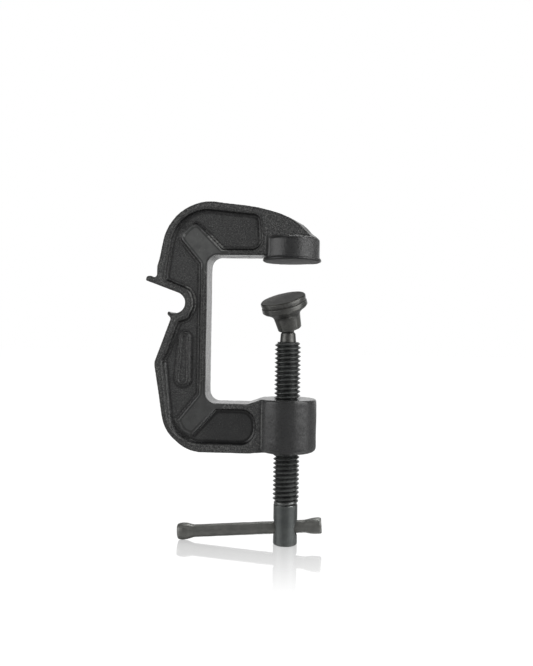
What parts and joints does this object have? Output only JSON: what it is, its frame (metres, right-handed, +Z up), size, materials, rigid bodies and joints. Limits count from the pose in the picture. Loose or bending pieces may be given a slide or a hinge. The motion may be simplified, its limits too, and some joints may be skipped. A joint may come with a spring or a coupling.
{
  "type": "c clamp",
  "caption": "Small cast-iron C-clamp with a V-thread screw, swivel pad and sliding tommy bar, and a bottle-opener notch cast into the outside of its spine.",
  "frame": {"origin": "where the screw axis meets the flat face of the anvil", "axes": "+Z up along the screw axis from the head towards the anvil, +X from the spine towards the jaws, Y across the thickness of the casting"},
  "size_m": [0.0862, 0.0284, 0.1644],
  "materials": {
    "black_casting": "black textured enamel over sand-cast iron, with worn edges",
    "blackened_steel": "satin black-oxide steel",
    "blackened_thread": "oiled black-oxide steel"
  },
  "bodies": {
    "frame": {"frame": "black_casting"},
    "ball_stud": {"ball_stud": "blackened_steel"},
    "screw": {"screw": "blackened_thread"},
    "swivel_pad": {"swivel_pad": "blackened_steel"},
    "tommy_bar": {"tommy_bar": "blackened_steel"}
  },
  "joints": [
    {"name": "screw_travel", "type": "slide", "parent": "frame", "child": "ball_stud", "axis": [0, 0, 1], "range_m": [-0.031, 0.0136]},
    {"name": "screw_spin", "type": "hinge", "parent": "ball_stud", "child": "screw", "pos_m": [0, 0, -0.0386], "axis": [0, 0, 1], "range_deg": [-5268, 2311]},
    {"name": "pad_tilt", "type": "hinge", "parent": "ball_stud", "child": "swivel_pad", "pos_m": [0, 0, -0.0289], "axis": [0.7923, -0.6101, 0], "range_deg": [-43.6, 0.8]},
    {"name": "bar_slide", "type": "slide", "parent": "screw", "child": "tommy_bar", "axis": [0.9969, 0, 0.0785], "range_m": [-0.0043, 0.0392]}
  ],
  "couplings": [
    {"joint": "screw_travel", "follows": "screw_spin", "m_per_rad": 0.00033688}
  ]
}
